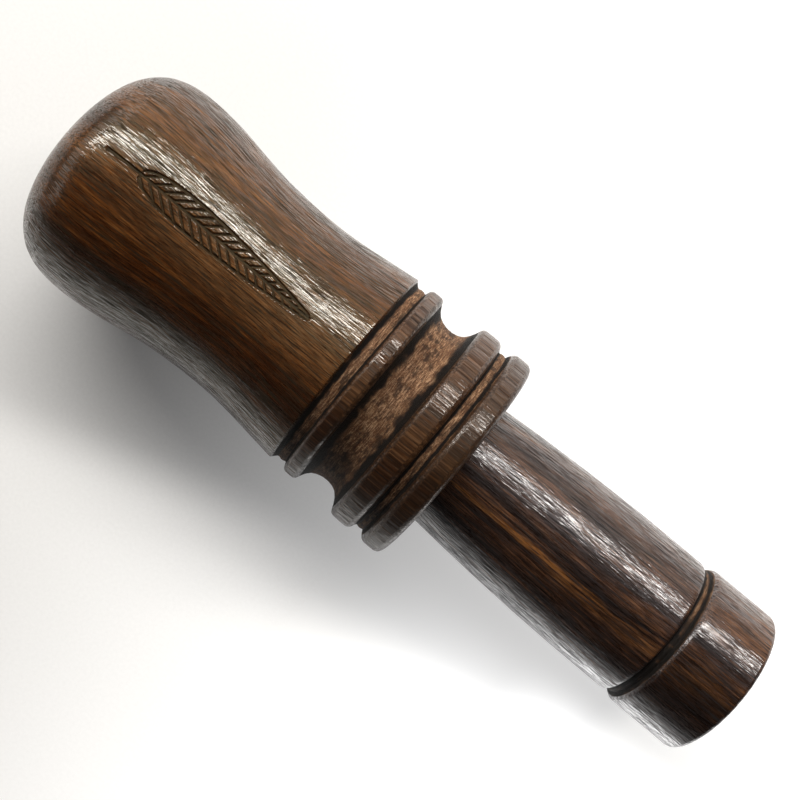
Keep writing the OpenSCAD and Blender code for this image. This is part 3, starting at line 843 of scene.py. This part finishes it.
def make_wedge():
    """Cork block: flat base, round back, pitted all over; its pits only go inwards."""
    x0, x1, r, base = SLOT_BACK - 9.6, SLOT_BACK - 0.2, 6.3, TABLE + 0.56
    half = math.acos(base / r)
    arc = [(r * math.sin(a), r * math.cos(a)) for a in np.linspace(half, -half, 90)]
    outline = resample(arc + [(w, base) for w in np.linspace(arc[-1][0], arc[0][0], 60)[1:]], 0.15)[:-1]
    closed = outline.copy()
    for _ in range(3):
        closed = 0.25 * np.roll(closed, 1, 0) + 0.5 * closed + 0.25 * np.roll(closed, -1, 0)
    mid = np.array([0.0, (base + r) / 2])
    # rings: out over the front face, along the side, in over the back face
    steps = [(x0, k) for k in np.linspace(0.03, 0.96, 24)] + [(x0 + 0.03, 0.982), (x0 + 0.11, 0.995)]
    steps += [(x, 1.0) for x in np.linspace(x0 + 0.28, x1 - 0.28, 56)]
    steps += [(x1 - 0.11, 0.995), (x1 - 0.03, 0.982)] + [(x1, k) for k in np.linspace(0.96, 0.03, 24)]
    co = np.array([[(x, *(mid + (q - mid) * k)) for q in closed] for x, k in steps])
    inward = np.zeros_like(co)
    nxt, prv = np.roll(co, -1, 1), np.roll(co, 1, 1)
    flow = nxt - prv
    side = np.stack([np.zeros(co.shape[:2]), flow[..., 2], -flow[..., 1]], -1)
    side /= np.linalg.norm(side, axis=-1, keepdims=True) + 1e-9
    to_mid = np.concatenate([np.zeros(co.shape[:2] + (1,)), mid - co[..., 1:]], -1)
    side *= np.sign((side * to_mid).sum(-1, keepdims=True))
    along = np.array([1.0 if x <= x0 + 0.12 else (-1.0 if x >= x1 - 0.12 else 0.0) for x, _ in steps])
    end = np.stack([along[:, None] * np.ones(co.shape[1]), np.zeros(co.shape[:2]), np.zeros(co.shape[:2])], -1)
    inward = np.where((along != 0)[:, None, None], end, side)
    pits = smoothstep(0.66, 0.86, noise3(co * (0.55, 1.9, 1.3), 31)) * 0.30
    pits = pits + smoothstep(0.70, 0.90, noise3(co * (2.6, 3.4, 3.0) + 9, 32)) * 0.14
    rough = 0.05 * noise3(co * 3.5 + 3, 33)
    hide = smoothstep(0.03, 0.2, np.array([k for _, k in steps]))[:, None]
    co = co + inward * ((pits + rough) * hide)[..., None]
    n, m = co.shape[:2]
    verts = np.stack([X0 + co[..., 0], co[..., 1], AX + co[..., 2]], -1).reshape(-1, 3)
    faces = [(i * m + j, i * m + (j + 1) % m, (i + 1) * m + (j + 1) % m, (i + 1) * m + j)
             for i in range(n - 1) for j in range(m)]
    faces += [tuple(range(m)), tuple((n - 1) * m + j for j in range(m))]
    ob = mesh_object("cork_wedge", verts, faces)
    a = ob.data.attributes.new("shade", "FLOAT", "POINT")
    a.data.foreach_set("value", np.clip(pits * 4.5, 0, 0.95).ravel().astype(np.float32))
    return place(ob, cork(), "wedge", "reed_wedge", angle=60)


def make_o_rings(material):
    """Rubber rings with the fine flash line that their mould leaves."""
    cord, outer = 0.79, 9.5
    for name, node, at in (("inner_seal", "inner_o_ring", TENON + 5), ("outer_seal", "outer_o_ring", TENON + 15.5)):
        a = np.linspace(2 * math.pi, 0, 41)[:-1]
        rad = np.full(len(a), cord)
        rad[[10, 30]] -= 0.0
        rad[[9, 11, 29, 31]] -= 0.018
        ang = np.linspace(0, 2 * math.pi, 193)[:-1]
        x = np.repeat((at + rad * np.cos(a))[:, None], len(ang), 1)
        r = np.repeat((outer - cord + rad * np.sin(a))[:, None], len(ang), 1)
        r = r - 0.012 * value_noise(np.broadcast_to(ang, r.shape) * 14.0, x * 2.0, 41)
        ob = turned(name, x, r, ang, [material], sharp=60)
        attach(ob, "seals")
        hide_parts(node)


make_tone_board()
make_reed("lower_reed_film", "lower_reed", 41.3, 0.02, film("reed_film_clear", (0.66, 0.69, 0.70)), None)
make_reed("upper_reed_film", "upper_reed", 38.3, 0.29, film("reed_film_frosted", (0.74, 0.76, 0.76)), 34.0)
make_wedge()
make_o_rings(rubber())


# ---------------------------------------------------------------- studio
def make_stage():
    g = Graph("paper")
    p = g.mm()
    tooth = g.noise(p, scale=1.6, detail=3.0, rough=0.6)
    _, side, _ = g.xyz(p)
    paper = g.ramp(tooth, [(0.3, (0.575, 0.572, 0.57)), (0.7, (0.605, 0.602, 0.60))])
    away = g.remap(g.vec("LENGTH", p), 300.0, 620.0, smooth=True)
    # painted shade: the paper is darker towards -Y, which dims the floor's reflection along the call's lower edges
    painted_floor_shade = g.math("MULTIPLY", g.remap(side, -230.0, -75.0, 0.22, 0.0, smooth=True), g.math("SUBTRACT", 1.0, away))
    g.put(g.bsdf.inputs["Base Color"], g.mix(g.math("MULTIPLY", away, 0.7), g.mix(painted_floor_shade, paper, (0.10, 0.095, 0.09)), (0.12, 0.12, 0.12)))
    g.bsdf.inputs["Roughness"].default_value = 0.9
    g.bsdf.inputs["Specular IOR Level"].default_value = 0.1
    # a table lit from below, more under the exhaust end
    px, py, _ = g.xyz(p)
    far = g.vec("LENGTH", p)
    glow = g.math("MULTIPLY", g.remap(px, -60.0, 60.0, 0.05, 0.62, smooth=True), g.remap(far, 90.0, 260.0, 1.0, 0.25, smooth=True))
    glow = g.math("ADD", glow, g.remap(side, 30.0, 140.0, 0.0, 0.45, smooth=True))
    # painted light: a brighter glowing patch of floor beside the tube and collar on the -Y side, which puts a bright
    # reflection along their lower edges
    rim = g.math("MULTIPLY", g.remap(px, 5.0, 50.0, 0.0, 0.85, smooth=True), g.remap(side, -40.0, -15.0, 1.0, 0.0, smooth=True))
    rim = g.math("MULTIPLY", rim, g.remap(px, 42.0, 58.0, 1.0, 3.0, smooth=True))
    glow = g.math("ADD", glow, g.math("MULTIPLY", rim, g.remap(side, -74.0, -44.0, 0.0, 1.0, smooth=True)))
    g.bsdf.inputs["Emission Color"].default_value = (1, 1, 1, 1)
    glow = g.math("MULTIPLY", glow, g.math("SUBTRACT", 1.0, away))
    g.put(g.bsdf.inputs["Emission Strength"], g.math("ADD", glow, g.math("MULTIPLY", away, 0.42)))
    bm = bmesh.new()
    bmesh.ops.create_grid(bm, x_segments=8, y_segments=8, size=1.6)
    me = bpy.data.meshes.new("floor")
    bm.to_mesh(me)
    bm.free()
    me.materials.append(g.mat)
    floor = link(bpy.data.objects.new("floor", me))


def area(name, target, direction, distance, size, power, colour=(1, 1, 1), along=(1, 0, 0)):
    """Rectangular softbox with its first side along the given direction: size is along and across, in metres."""
    d = Vector(direction).normalized()
    li = bpy.data.lights.new(name, "AREA")
    li.shape = "RECTANGLE"
    li.size, li.size_y = size
    li.energy = power
    li.color = colour
    ob = link(bpy.data.objects.new(name, li))
    z = d
    x = Vector(along)
    x = (x - z * x.dot(z)).normalized()
    y = z.cross(x)
    m = Matrix((x, y, z)).transposed().to_4x4()
    m.translation = Vector(target) + d * distance
    ob.matrix_world = m
    return ob


def make_lights():
    mid = Vector((0, 0, AX * MM))
    a, b = math.radians(37.4), math.radians(76)
    area("key", mid, Vector((-0.27, math.sin(a), math.cos(a))), 0.55, (1.10, 0.080), 8.2, (1.0, 0.975, 0.93),
         along=(1, 0.27 * math.cos(a), -0.27 * math.sin(a)))
    area("wall", mid, Vector((-0.30, math.sin(b), math.cos(b))), 0.8, (1.2, 0.42), 1.9, (1.0, 0.93, 0.84))
    area("end", mid, Vector((-0.90, 0.08, 0.40)), 0.7, (1.4, 0.22), 1.3, (1.0, 0.97, 0.93), along=(0, 1, 0))
    world = bpy.data.worlds.new("studio")
    bpy.context.scene.world = world
    world.use_nodes = True
    t = world.node_tree
    bg = t.nodes["Background"]
    tc = t.nodes.new("ShaderNodeTexCoord")
    sep = t.nodes.new("ShaderNodeSeparateXYZ")
    ramp = t.nodes.new("ShaderNodeValToRGB")
    t.links.new(tc.outputs["Generated"], sep.inputs[0])
    t.links.new(sep.outputs["Z"], ramp.inputs[0])
    e = ramp.color_ramp.elements
    e[0].position, e[0].color = 0.0, (0.045, 0.045, 0.046, 1)
    e[1].position, e[1].color = 0.30, (0.014, 0.014, 0.015, 1)
    t.links.new(ramp.outputs["Color"], bg.inputs["Color"])
    bg.inputs["Strength"].default_value = 1.0


make_stage()
make_lights()
sc = bpy.context.scene
sc.view_settings.view_transform = "Standard"
sc.view_settings.look = "None"
sc.view_settings.exposure = 0.0
